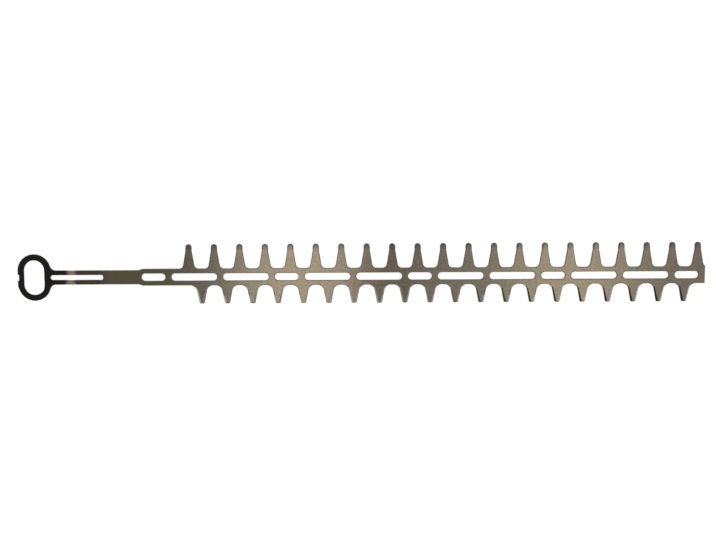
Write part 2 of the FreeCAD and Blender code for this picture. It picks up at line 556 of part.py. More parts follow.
def grind_cutter_flank(blade, name, side):
    """Grinds one flank of the first cutter tooth, from past its tip to the hollow at its root.

    Args:
        blade: the blade to grind.
        name: name of the path.
        side: -1 for the flank towards the drive eye and 1 for the other.
    """
    centre = blade.size("sizes.first_cutter")
    edge = blade.size("sizes.body_width / 2")
    lean = blade.size("sizes.grind_lean")
    turn = blade.size("sizes.grind_exit")
    tip = (centre + side * blade.size("sizes.grind_tip_reach"), -edge - blade.size("sizes.grind_tip"))
    root = (centre + side * blade.size("sizes.grind_root_reach"), -edge - blade.size("sizes.grind_root"))
    leave = (centre + side * blade.size("sizes.grind_leave_reach"), -edge - blade.size("sizes.grind_leave"))
    end = (centre + side * blade.size("sizes.grind_end_reach"), leave[1])
    pivot = (leave[0], leave[1] - turn)
    sweep = (lean, 90) if side < 0 else (90, 180 - lean)
    at_root, at_leave = (FIRST, LAST) if side < 0 else (LAST, FIRST)
    path = blade.sketch(name)
    path.addGeometry([line(tip, root), arc(pivot, turn, *sweep), line(leave, end)])
    flank, bend, exit_run = range(path.GeometryCount)
    tie(path, "Tangent", (flank, LAST, bend, at_root), (bend, at_leave, exit_run, FIRST))
    tie(path, "Horizontal", (exit_run,))
    sign = "+" if side > 0 else "-"
    end_place = f"sizes.first_cutter {sign} sizes.grind_end_reach"
    blade.dimension(path, "tip_reach", "DistanceX", *ORIGIN, flank, FIRST,
                    formula=f"sizes.first_cutter {sign} sizes.grind_tip_reach")
    blade.dimension(path, "tip", "DistanceY", flank, FIRST, *ORIGIN,
                    formula="sizes.body_width / 2 + sizes.grind_tip")
    blade.dimension(path, "root_reach", "DistanceX", *ORIGIN, flank, LAST,
                    formula=f"sizes.first_cutter {sign} sizes.grind_root_reach")
    blade.dimension(path, "root", "DistanceY", flank, LAST, *ORIGIN,
                    formula="sizes.body_width / 2 + sizes.grind_root")
    blade.dimension(path, "bend", "Radius", bend, formula="sizes.grind_exit")
    blade.dimension(path, "end", "DistanceX", *ORIGIN, exit_run, LAST, formula=end_place)
    wedge = blade.sketch(name + "_wedge", "YZ_Plane", offset=end_place)
    draw_wedge(blade, wedge, "-sizes.body_width / 2 - sizes.grind_leave", "sizes.grind_width",
               "(sizes.plate_thickness - sizes.grind_land)", outward=-1)
    return blade.grind(path, wedge)


def add_teeth(blade):
    """Adds the first tooth of each row, blunted or ground, and then repeats both along the blade."""
    comb_tooth = [pad_comb_tooth(blade), blunt_comb_tip(blade)]
    cutter_tooth = [pad_cutter_tooth(blade)]
    cutter_tooth.append(grind_cutter_flank(blade, "near_flank", side=-1))
    cutter_tooth.append(grind_cutter_flank(blade, "far_flank", side=1))
    blade.repeat("comb_row", comb_tooth, "sizes.tooth_pitch", "sizes.comb_count", adds=True)
    blade.repeat("cutter_row", cutter_tooth, "sizes.tooth_pitch", "sizes.cutter_count", adds=True)


def trim_end(blade):
    """Cuts the strip off square behind the last comb tooth."""
    start = blade.size("sizes.blade_end")
    end = blade.size("sizes.strip_end + sizes.tool_clearance")
    half = blade.size("sizes.body_width / 2 + sizes.comb_height + sizes.tool_clearance")
    sketch = blade.sketch("end_waste")
    sketch.addGeometry([
        line((start, -half), (end, -half)),
        line((end, -half), (end, half)),
        line((end, half), (start, half)),
        line((start, half), (start, -half)),
    ])
    edges = range(sketch.GeometryCount)
    lower, right, upper, left = edges
    close(sketch, "Coincident", edges)
    tie(sketch, "Horizontal", (lower,), (upper,))
    tie(sketch, "Vertical", (right,))
    tie(sketch, "Symmetric", (left, FIRST, left, LAST, X_LINE))
    blade.dimension(sketch, "start", "DistanceX", *ORIGIN, lower, FIRST, formula="sizes.blade_end")
    blade.dimension(sketch, "end", "DistanceX", *ORIGIN, lower, LAST,
                    formula="sizes.strip_end + sizes.tool_clearance")
    blade.dimension(sketch, "half", "DistanceY", *ORIGIN, upper, LAST,
                    formula="sizes.body_width / 2 + sizes.comb_height + sizes.tool_clearance")
    blade.punch(sketch)


def check(blade):
    """Stops if an object failed, a sketch is loose or the body isn't one valid solid."""
    for item in blade.document.Objects:
        if "Invalid" in item.State or "Error" in item.State:
            raise RuntimeError(f"{item.Name} failed: {item.State}")
        if item.TypeId == "Sketcher::SketchObject" and not item.FullyConstrained:
            raise RuntimeError(f"{item.Name} has loose dimensions")
    shape = blade.body.Shape
    if shape.isNull() or not shape.isValid() or len(shape.Solids) != 1:
        raise RuntimeError("the blade isn't one valid solid")


def main():
    """Builds the blade and writes it as a STEP file."""
    blade = Blade(FreeCAD.newDocument("hedge_trimmer_blade"))
    add_blank(blade)
    cut_eye(blade)
    cut_nose_notch(blade)
    cut_neck_slot(blade)
    cut_slots(blade)
    add_teeth(blade)
    trim_end(blade)
    check(blade)
    os.makedirs("parts", exist_ok=True)
    blade.body.Shape.exportStep(os.path.join("parts", blade.body.Label + ".step"))


main()
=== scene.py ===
"""Looks of a hedge trimmer blade: one ground steel plate, blackened and heat-tinted at its drive eye.

The plate is worked out with numpy. Its outline and its cut-outs are closed paths of lines and arcs, an edge
profile is carried along each path, and the two faces between the paths are filled with triangles whose height
is a function of x and y, so that the ground bevels are true planes and cones.
"""

import logging
import math
from dataclasses import dataclass, field
from enum import IntEnum
from typing import Optional, Sequence, Union

import bpy
import numpy as np
from mathutils import Matrix, Vector
from mathutils.geometry import delaunay_2d_cdt

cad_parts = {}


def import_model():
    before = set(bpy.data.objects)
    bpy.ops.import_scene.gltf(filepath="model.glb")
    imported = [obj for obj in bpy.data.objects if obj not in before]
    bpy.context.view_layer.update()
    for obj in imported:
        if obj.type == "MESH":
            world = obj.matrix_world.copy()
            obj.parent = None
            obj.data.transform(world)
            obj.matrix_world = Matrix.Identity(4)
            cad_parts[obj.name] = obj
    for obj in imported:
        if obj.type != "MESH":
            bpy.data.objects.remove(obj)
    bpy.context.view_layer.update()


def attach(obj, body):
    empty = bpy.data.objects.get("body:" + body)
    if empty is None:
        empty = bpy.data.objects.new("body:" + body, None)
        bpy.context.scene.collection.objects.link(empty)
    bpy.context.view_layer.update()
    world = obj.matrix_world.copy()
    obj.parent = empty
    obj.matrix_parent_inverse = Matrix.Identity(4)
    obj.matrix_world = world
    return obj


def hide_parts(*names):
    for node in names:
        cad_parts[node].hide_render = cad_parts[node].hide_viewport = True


LOG = logging.getLogger("trimmer_blade")
MM = 0.001
NODE = "trimmer_blade"
SAME_POINT = 1e-6  # millimetres
FILL_TOLERANCE = 1e-7  # millimetres
FILL_HULL = 0  # triangles of the whole convex hull
SHARP_ANGLE = 40.0  # degrees

Colour = tuple[float, float, float]
Socket = bpy.types.NodeSocket
Input = Union[Socket, float, int, Sequence[float]]


class Finish(IntEnum):
    """The finishes of the plate, in the order of its material slots."""

    FACE = 0
    GRIND = 1
    RIM = 2
    WALL = 3


def arc(centre: Sequence[float], radius: float, first: float, last: float, sag: float = 0.008) -> np.ndarray:
    """Points on an arc: centre + radius * (cos a, sin a), with a running evenly from first to last.

    Args:
        centre: middle of the arc, in millimetres.
        radius: radius of the arc, in millimetres.
        first: direction of its first point, in degrees.
        last: direction of its last point, in degrees; below first for a clockwise arc.
        sag: how far a chord may fall short of the arc, in millimetres.

    Returns:
        An array of points, both ends included.
    """
    step = 2 * math.degrees(math.acos(1 - sag / radius))
    count = max(2, math.ceil(abs(last - first) / step)) + 1
    angles = np.radians(np.linspace(first, last, count))
    return np.asarray(centre) + radius * np.stack([np.cos(angles), np.sin(angles)], axis=1)


def joined(parts: Sequence[Sequence]) -> np.ndarray:
    """One closed path from runs of points, without points that repeat the one before.

    Args:
        parts: runs of (x, y) points, in order.

    Returns:
        An array of points, of which the last one isn't the first one again.
    """
    points = np.concatenate([np.atleast_2d(np.asarray(part, float)) for part in parts])
    apart = np.linalg.norm(points - np.roll(points, 1, axis=0), axis=1) > SAME_POINT
    return points[apart]


def inset_directions(path: np.ndarray) -> np.ndarray:
    """Mitre vectors that move a closed path one millimetre towards its left side.

    With the left normals m and n of the two edges at a point, the vector is (m + n) / (1 + m . n).

    Args:
        path: points of the path, with the steel on its left.

    Returns:
        One vector for each point.
    """
    ahead = np.roll(path, -1, axis=0) - path
    ahead /= np.linalg.norm(ahead, axis=1, keepdims=True)
    normal = np.stack([-ahead[:, 1], ahead[:, 0]], axis=1)
    before = np.roll(normal, 1, axis=0)
    return (before + normal) / (1 + (before * normal).sum(axis=1, keepdims=True))


def inside(points: np.ndarray, paths: Sequence[np.ndarray], chunk: int = 512) -> np.ndarray:
    """Which points lie in the region that closed paths bound, by counting the edges to the right of each.

    Args:
        points: points to test.
        paths: the outline and the holes.
        chunk: how many points are tested at a time.

    Returns:
        One truth value for each point.
    """
    start = np.concatenate(paths)
    end = np.concatenate([np.roll(path, -1, axis=0) for path in paths])
    rise = np.where(end[:, 1] == start[:, 1], np.inf, end[:, 1] - start[:, 1])
    lean = (end[:, 0] - start[:, 0]) / rise
    found = []
    for block in np.array_split(points, max(1, len(points) // chunk)):
        x, y = block[:, :1], block[:, 1:]
        spans = (start[:, 1] > y) != (end[:, 1] > y)
        crosses = spans & (x < start[:, 0] + (y - start[:, 1]) * lean)
        found.append(crosses.sum(axis=1) % 2 == 1)
    return np.concatenate(found)


def corner_inset(lean: float) -> float:
    """How far a round of radius 1 in the corner between a flank and an edge reaches along the edge.

    For a flank that leans by the angle a, that is (1 - sin a) / cos a.

    Args:
        lean: angle of the flank, in degrees from upright.

    Returns:
        The distance from the corner.
    """
    angle = math.radians(lean)
    return (1 - math.sin(angle)) / math.cos(angle)


@dataclass
class CombTooth:
    """A long, blunt comb tooth, in millimetres over the body's edge.

    The finger is its straight end. The blunted rim is rim_width wide and rim_depth deep, and runs out on an
    arc of rim_exit.
    """

    height: float = 28.88
    tip_width: float = 7.4
    finger: float = 8.2
    root_width: float = 14.5
    root_fillet: float = 5.0
    rim_width: float = 1.5
    rim_depth: float = 0.9
    rim_exit: float = 12.0

    @property
    def lean(self) -> float:
        """Angle of the flanks, in degrees."""
        return math.degrees(math.atan2((self.root_width - self.tip_width) / 2, self.height - self.finger))

    @property
    def reach(self) -> float:
        """How far the hollow root spreads from the tooth's middle."""
        return self.root_width / 2 + self.root_fillet * corner_inset(self.lean)

    def outline(self, edge: float, end: float = math.inf) -> np.ndarray:
        """Outline round the tooth, from its root on the right over the tip to its root on the left.

        Args:
            edge: height of the body's edge.
            end: where the plate ends, measured from the tooth's middle.

        Returns:
            Points round a tooth whose middle is at x = 0.
        """
        half = self.tip_width / 2
        top = edge + self.height - half
        kink = edge + self.height - self.finger
        pivot = edge + self.root_fillet
        across = max(-1.0, min(0.0, (end - self.reach) / self.root_fillet))
        first = 360 - math.degrees(math.acos(across)) if end < self.reach else 270.0
        right = arc((self.reach, pivot), self.root_fillet, first, 180 + self.lean)
        left = arc((-self.reach, pivot), self.root_fillet, -self.lean, -90)
        return joined([right, [(half, kink)], arc((0, top), half, 0, 180), [(-half, kink)], left])

    def rim_distance(self, across: np.ndarray, over: np.ndarray) -> np.ndarray:
        """Distance inwards from the line that the blunting follows.

        Round the tip that is tip radius - |p|, and along the finger |p - q| - rim_exit, with q the middle
        of the arc on which the rim runs out.

        Args:
            across: distance from the tooth's middle line.
            over: height over the middle of the round tip.

        Returns:
            The distances.
        """
        half = self.tip_width / 2
        run_out = np.hypot(across - half - self.rim_exit, over) - self.rim_exit
        return np.where(over > 0, half - np.hypot(across, over), run_out)

    def crease(self, edge: float, margin: float) -> np.ndarray:
        """Line on the face where the blunted rim starts.

        Args:
            edge: height of the body's edge.
            margin: how far its ends stay from the outline.

        Returns:
            Points for a tooth whose middle is at x = 0, from right to left.
        """
        half = self.tip_width / 2
        top = edge + self.height - half
        radius = self.rim_exit + self.rim_width
        end = math.degrees(math.acos((self.rim_exit + margin) / radius))
        right = arc((half + self.rim_exit, top), radius, 180 + end, 180)
        left = arc((-half - self.rim_exit, top), radius, 0, -end)
        return joined([right, arc((0, top), half - self.rim_width, 0, 180), left])


@dataclass
class CutterTooth:
    """A short cutter tooth with a ground bevel on each flank, in millimetres below the body's edge.

    A bevel is grind_width wide at the tip and grind_taper narrower at the root, leaves grind_land of the
    thickness at the cutting edge, and runs out on an arc of grind_exit.
    """

    height: float = 21.6
    tip_width: float = 6.0
    tip_corner: float = 1.3
    tip_points: int = 11
    root_width: float = 14.3
    root_fillet: float = 7.7
    grind_width: float = 2.35
    grind_taper: float = 0.9
    grind_land: float = 0.5
    grind_exit: float = 3.0
    overrun: float = 1.0

    @property
    def slope(self) -> float:
        """How much a flank leans in for each millimetre of height."""
        return (self.root_width - self.tip_width) / 2 / self.height

    @property
    def lean(self) -> float:
        """Angle of the flanks, in degrees."""
        return math.degrees(math.atan(self.slope))

    @property
    def reach(self) -> float:
        """How far the hollow root spreads from the tooth's middle."""
        return self.root_width / 2 + self.root_fillet * corner_inset(self.lean)

    def outline(self, edge: float) -> np.ndarray:
        """Outline round the tooth, from its root on the left round the tip to its root on the right.

        Args:
            edge: distance of the body's edge from the blade's middle line.

        Returns:
            Points round a tooth whose middle is at x = 0 and which points to -y.
        """
        flat = self.tip_width / 2 - self.tip_corner * corner_inset(self.lean)
        low = -edge - self.height + self.tip_corner
        pivot = -edge - self.root_fillet
        tip = np.linspace(-flat, flat, self.tip_points + 2)[1:-1]
        return joined([
            arc((-self.reach, pivot), self.root_fillet, 90, self.lean),
            arc((-flat, low), self.tip_corner, 180 + self.lean, 270),
            np.stack([tip, np.full(len(tip), -edge - self.height)], axis=1),
            arc((flat, low), self.tip_corner, 270, 360 - self.lean),
            arc((self.reach, pivot), self.root_fillet, 180 - self.lean, 90),
        ])

    def _grind_line(self) -> tuple[float, float, float]:
        """Works out the grinding wheel's straight run.

        The run starts on the flank, an overrun past the tip, and ends grind_taper outside the flank, so that
        the tangent of its lean is slope + grind_taper / length.

        Returns:
            Its lean in degrees, and its end at the root, across and below the body's edge.
        """
        depth = self.root_fillet * (1 - math.sin(math.radians(self.lean)))
        across = self.root_width / 2 - depth * self.slope + self.grind_taper
        length = self.height + self.overrun - depth
        return math.degrees(math.atan(self.slope + self.grind_taper / length)), across, depth

    def _exit_pivot(self) -> tuple[float, float]:
        """Finds the middle of the arc on which the grind leaves the root.

        Returns:
            Its places across the tooth and below the body's edge.
        """
        lean, across, depth = self._grind_line()
        turn = math.radians(lean)
        return across + self.grind_exit * math.cos(turn), depth + self.grind_exit * math.sin(turn)

    def grind_distance(self, across: np.ndarray, below: np.ndarray) -> np.ndarray:
        """Distance inwards from the line that the grinding wheel follows.

        That line is the wheel's straight run, then an arc of grind_exit that leaves the hollow root, then a
        line along the blade.

        Args:
            across: distance from the tooth's middle line.
            below: distance below the body's edge.

        Returns:
            The distances.
        """
        lean, root_across, root_below = self._grind_line()
        lean = math.radians(lean)
        pivot_across, pivot_below = self._exit_pivot()
        along = (pivot_across - across) * math.sin(lean) + (below - pivot_below) * math.cos(lean)
        flank = (root_across + (root_below - below) * math.tan(lean) - across) * math.cos(lean)
        bend = np.hypot(across - pivot_across, below - pivot_below) - self.grind_exit
        leave = pivot_below - self.grind_exit - below
        return np.where(along > 0, flank, np.where(across < pivot_across, bend, leave))

    def crease(self, edge: float, side: int, margin: float) -> np.ndarray:
        """Line on the face where a flank's bevel starts, from near the tip to near the root.

        Args:
            edge: distance of the body's edge from the blade's middle line.
            side: -1 for the left flank and 1 for the right one.
            margin: how far its ends stay from the outline.

        Returns:
            Points for a tooth whose middle is at x = 0.
        """
        lean, root_across, root_below = self._grind_line()
        turn = math.radians(lean)
        pivot_across, pivot_below = self._exit_pivot()
        radius = self.grind_exit + self.grind_width
        bend = arc((pivot_across, pivot_below), radius, 180 + lean, 270)
        hollow = np.hypot(bend[:, 0] - self.reach, bend[:, 1] - self.root_fillet)
        bend = bend[hollow > self.root_fillet + margin]
        low = self.height - margin
        tip = root_across + (root_below - low) * math.tan(turn) - self.grind_width / math.cos(turn)
        points = joined([[(tip, low)], bend])
        return np.stack([side * points[:, 0], -edge - points[:, 1]], axis=1)


@dataclass
class Blade:
    """The blade's plate: ring and neck, slotted body and two rows of teeth, in millimetres."""

    thickness: float = 2.5
    roll_width: float = 0.8
    roll_depth: float = 0.28
    roll_steps: int = 4
    edge_break: float = 0.1
    break_steps: int = 2
    eye_width: float = 24.2
    eye_straight: float = 16.8
    eye_wall: float = 7.1
    eye_fillet: float = 7.4
    notch_width: float = 6.4
    notch_depth: float = 1.5
    notch_flare: float = 0.7
    neck_width: float = 16.7
    neck_slot: tuple[float, float] = (62.2, 5.8)
    neck_slot_corner: float = 2.0
    shoulder: tuple[float, float] = (122.9, 128.1)
    body_width: float = 19.9
    first_guide: float = 140.9
    guide_spacing: float = 157.25
    guide_count: int = 5
    guide_length: float = 28.0
    slot_width: float = 8.6
    slot_web: float = 7.2
    first_comb: float = 182.7
    pitch: float = 30.0
    comb_count: int = 21
    end: float = 791.6
    comb: CombTooth = field(default_factory=CombTooth)
    cutter: CutterTooth = field(default_factory=CutterTooth)

    @property
    def edge(self) -> float:
        """Distance of the body's edges from the blade's middle line."""
        return self.body_width / 2

    @property
    def comb_places(self) -> np.ndarray:
        """Middles of the comb teeth along the blade."""
        return self.first_comb + self.pitch * np.arange(self.comb_count)

    @property
    def cutter_places(self) -> np.ndarray:
        """Middles of the cutter teeth along the blade, half a pitch on from the comb teeth."""
        return self.first_comb + self.pitch * (np.arange(self.comb_count - 1) + 0.5)

    def outline(self) -> np.ndarray:
        """Joins the ring, the neck, the shoulders and the teeth to the plate's outer path.

        Returns:
            Points of the path, anticlockwise from the ring's nose, with the steel on its left.
        """
        ring = self.eye_width / 2 + self.eye_wall
        straight = self.eye_straight / 2
        neck = self.neck_width / 2
        rise = neck + self.eye_fillet - straight
        reach = math.sqrt((ring + self.eye_fillet) ** 2 - rise**2)
        turn = math.degrees(math.atan2(rise, reach))
        low, high = self.shoulder
        lower = [
            arc((0, -straight), ring, 180, 360 - turn),
            arc((reach, -neck - self.eye_fillet), self.eye_fillet, 180 - turn, 90),
            [(low, -neck), (high, -self.edge)],
        ]
        lower += [self.cutter.outline(self.edge) + (place, 0) for place in self.cutter_places]
        teeth = [self.comb.outline(self.edge) + (place, 0) for place in self.comb_places[-2::-1]]
        last = self.comb_places[-1]
        upper = [[(self.end, -self.edge)], self.comb.outline(self.edge, self.end - last) + (last, 0), *teeth]
        upper += [
            [(high, self.edge), (low, neck)],
            arc((reach, neck + self.eye_fillet), self.eye_fillet, 270, 180 + turn),
            arc((0, straight), ring, turn, 180),
        ]
        mouth = self.notch_width / 2 + self.notch_flare
        floor = self.notch_depth - ring
        notch = [[(-ring, mouth), (floor, self.notch_width / 2), (floor, -self.notch_width / 2), (-ring, -mouth)]]
        return joined(lower + upper + notch)

    def slot(self, middle: float, length: float) -> np.ndarray:
        """A slot with round ends along the blade, clockwise.

        Args:
            middle: its place along the blade.
            length: its length from end to end.

        Returns:
            Points of the path.
        """
        half = self.slot_width / 2
        run = length / 2 - half
        return joined([arc((middle + run, 0), half, 90, -90), arc((middle - run, 0), half, 270, 90)])

    def cut_outs(self) -> list[np.ndarray]:
        """Makes the paths of the drive eye, the neck slot, the guide slots and the relief slots.

        Returns:
            The paths, all clockwise.
        """
        straight = self.eye_straight / 2
        half_eye = self.eye_width / 2
        eye = joined([arc((0, straight), half_eye, 180, 0), arc((0, -straight), half_eye, 0, -180)])
        start = half_eye + self.eye_wall
        length, width = self.neck_slot
        corner = self.neck_slot_corner
        blunt = start + length - corner
        neck = joined([
            arc((blunt, width / 2 - corner), corner, 90, 0),
            arc((blunt, corner - width / 2), corner, 0, -90),
            arc((start + width / 2, 0), width / 2, 270, 90),
        ])
        guides = self.first_guide + self.guide_spacing * np.arange(self.guide_count)
        relief = (self.guide_spacing - self.guide_length - 3 * self.slot_web) / 2
        near = guides[:-1] + (self.guide_length + relief) / 2 + self.slot_web
        slots = [self.slot(place, self.guide_length) for place in guides]
        slots += [self.slot(place, relief) for place in np.concatenate([near, near + relief + self.slot_web])]
        return [eye, neck, *slots]

    def tooth_frame(self, points: np.ndarray, places: np.ndarray) -> np.ndarray:
        """Distance of each point from the middle line of the tooth nearest to it."""
        nearest = np.clip(np.rint((points[:, 0] - places[0]) / self.pitch), 0, len(places) - 1)
        return np.abs(points[:, 0] - places[0] - self.pitch * nearest)

    def bevels(self, points: np.ndarray) -> tuple[np.ndarray, np.ndarray]:
        """How far points lie inside the lines of the cutter grind and of the comb rim, as shares of a bevel.

        Args:
            points: points on the plate.

        Returns:
            Two arrays, with values below 1 on a bevel.
        """
        below = -self.edge - points[:, 1]
        grind = self.cutter.grind_distance(self.tooth_frame(points, self.cutter_places), below)
        grind = np.where(below > 0, grind / self.cutter.grind_width, 1.0)
        over = points[:, 1] - self.edge - self.comb.height + self.comb.tip_width / 2
        rim = self.comb.rim_distance(self.tooth_frame(points, self.comb_places), over)
        rim = np.where(over > -self.comb.finger, rim / self.comb.rim_width, 1.0)
        return np.clip(grind, 0, 1), np.clip(rim, 0, 1)

    def height(self, points: np.ndarray) -> np.ndarray:
        """Height of the upper face: the thickness, less what the bevels take off towards their edges.

        Args:
            points: points on the plate.

        Returns:
            One height for each point.
        """
        grind, rim = self.bevels(points)
        taken = (1 - grind) * (self.thickness - self.cutter.grind_land) + (1 - rim) * self.comb.rim_depth
        return self.thickness - taken

    def creases(self) -> list[np.ndarray]:
        """Finds the lines on the face where a bevel starts.

        Returns:
            One open line for each bevel.
        """
        margin = self.roll_width + self.edge_break
        lines = [self.comb.crease(self.edge, margin) + (place, 0) for place in self.comb_places]
        for side in (-1, 1):
            crease = self.cutter.crease(self.edge, side, margin)
            lines += [crease + (place, 0) for place in self.cutter_places]
        return lines

    def rim_rows(self, path: np.ndarray) -> np.ndarray:
        """Carries the edge profile along a path.

        The profile is the roll that punching leaves under the upper face, the upright wall and a small break
        over the lower face. At the angle a, a point of the roll lies roll_width * (1 - sin a) inside the path
        and roll_depth * (1 - cos a) under the face. Where a bevel is ground, the roll shrinks to the break.

        Args:
            path: a closed path with the steel on its left.

        Returns:
            An array of rows by points by three coordinates, from the upper face to the lower one.
        """
        inward = inset_directions(path)
        rolled = self.bevels(path)[0][:, None]
        width = self.edge_break + (self.roll_width - self.edge_break) * rolled
        depth = self.edge_break + (self.roll_depth - self.edge_break) * rolled
        rows = []
        for angle in np.radians(np.linspace(0, 90, self.roll_steps + 1)):
            flat = path + inward * width * (1 - math.sin(angle))
            rows.append(np.column_stack([flat, self.height(flat)[:, None] - depth * (1 - math.cos(angle))]))
        for angle in np.radians(np.linspace(90, 0, self.break_steps + 1)):
            flat = path + inward * self.edge_break * (1 - math.sin(angle))
            rows.append(np.column_stack([flat, np.full(len(flat), self.edge_break * (1 - math.cos(angle)))]))
        return np.stack(rows)

    def build(self) -> bpy.types.Object:
        """Makes the plate's mesh, with its finishes numbered in the faces.

        Returns:
            The plate's object, at the origin.
        """
        paths = [self.outline(), *self.cut_outs()]
        rims = [self.rim_rows(path) for path in paths]
        rows = len(rims[0])
        counts = np.array([len(path) for path in paths])
        ring_total = int(counts.sum())
        loops = [rim[0, :, :2] for rim in rims]
        creases = self.creases()
        flat = np.concatenate(loops + creases)
        faces = self._fill(flat, loops, creases)
        rim_points = np.concatenate(rims, axis=1).reshape(-1, 3)
        extra = flat[ring_total:]
        raised = np.column_stack([extra, self.height(extra)])
        lowered = np.column_stack([extra, np.zeros(len(extra))])
        points = np.concatenate([rim_points, raised, lowered]) * MM

        walls = self._walls(counts, rows)
        below = (rows - 1) * ring_total
        over = np.where(faces < ring_total, faces, faces + below)
        under = np.where(faces < ring_total, faces + below, faces + below + len(extra))
        mesh = bpy.data.meshes.new("trimmer_blade_plate")
        mesh.from_pydata(points, [], [*over.tolist(), *under[:, ::-1].tolist(), *walls.tolist()])
        grind, rim = self.bevels(flat[faces].mean(axis=1))
        top = np.where(grind < 1, Finish.GRIND, np.where(rim < 1, Finish.RIM, Finish.FACE))
        finishes = np.concatenate([top, np.full(len(under), Finish.FACE), np.full(len(walls), Finish.WALL)])
        mesh.polygons.foreach_set("material_index", finishes.astype(np.int32))
        # Marking the sharp edges smooths every face, so the plain faces are set flat after it.
        mesh.set_sharp_from_angle(angle=math.radians(SHARP_ANGLE))
        mesh.polygons.foreach_set("use_smooth", finishes != Finish.FACE)
        mesh.validate()
        mesh.update()
        plate = bpy.data.objects.new("ground_plate", mesh)
        bpy.context.scene.collection.objects.link(plate)
        return plate

    @staticmethod
    def _walls(counts: np.ndarray, rows: int) -> np.ndarray:
        """Quads between neighbouring rows of the edge profile, round each closed path.

        Args:
            counts: how many points each path has.
            rows: how many rows the profile has.

        Returns:
            Quads as indices of the points, row after row.
        """
        total = int(counts.sum())
        start = np.repeat(np.concatenate([[0], np.cumsum(counts)[:-1]]), counts)
        index = np.arange(total)
        following = start + (index - start + 1) % np.repeat(counts, counts)
        quads = np.stack([index, index + total, following + total, following], axis=1)
        return np.concatenate([quads + row * total for row in range(rows - 1)])

    @staticmethod
    def _fill(flat: np.ndarray, loops: Sequence[np.ndarray], creases: Sequence[np.ndarray]) -> np.ndarray:
        """Triangles between the inset paths, with the bevels' creases as edges.

        Args:
            flat: all points, those of the loops first.
            loops: the inset paths.
            creases: open lines that have to be edges.

        Returns:
            Triangles as indices of the points, anticlockwise from above.
        """
        edges, start = [], 0
        for run, closed in [(loop, True) for loop in loops] + [(crease, False) for crease in creases]:
            index = np.arange(start, start + len(run))
            ends = np.roll(index, -1)
            keep = slice(None) if closed else slice(None, -1)
            edges.append(np.stack([index, ends], axis=1)[keep])
            start += len(run)
        pairs = np.concatenate(edges).tolist()
        points = [Vector(point) for point in flat.tolist()]
        filled, _, triangles, origins, _, _ = delaunay_2d_cdt(points, pairs, [], FILL_HULL, FILL_TOLERANCE)
        if len(filled) != len(flat):
            LOG.warning("the fill added %d points", len(filled) - len(flat))
        source = np.array([origin[0] for origin in origins])
        faces = source[np.array(triangles)]
        return faces[inside(flat[faces].mean(axis=1), loops)]


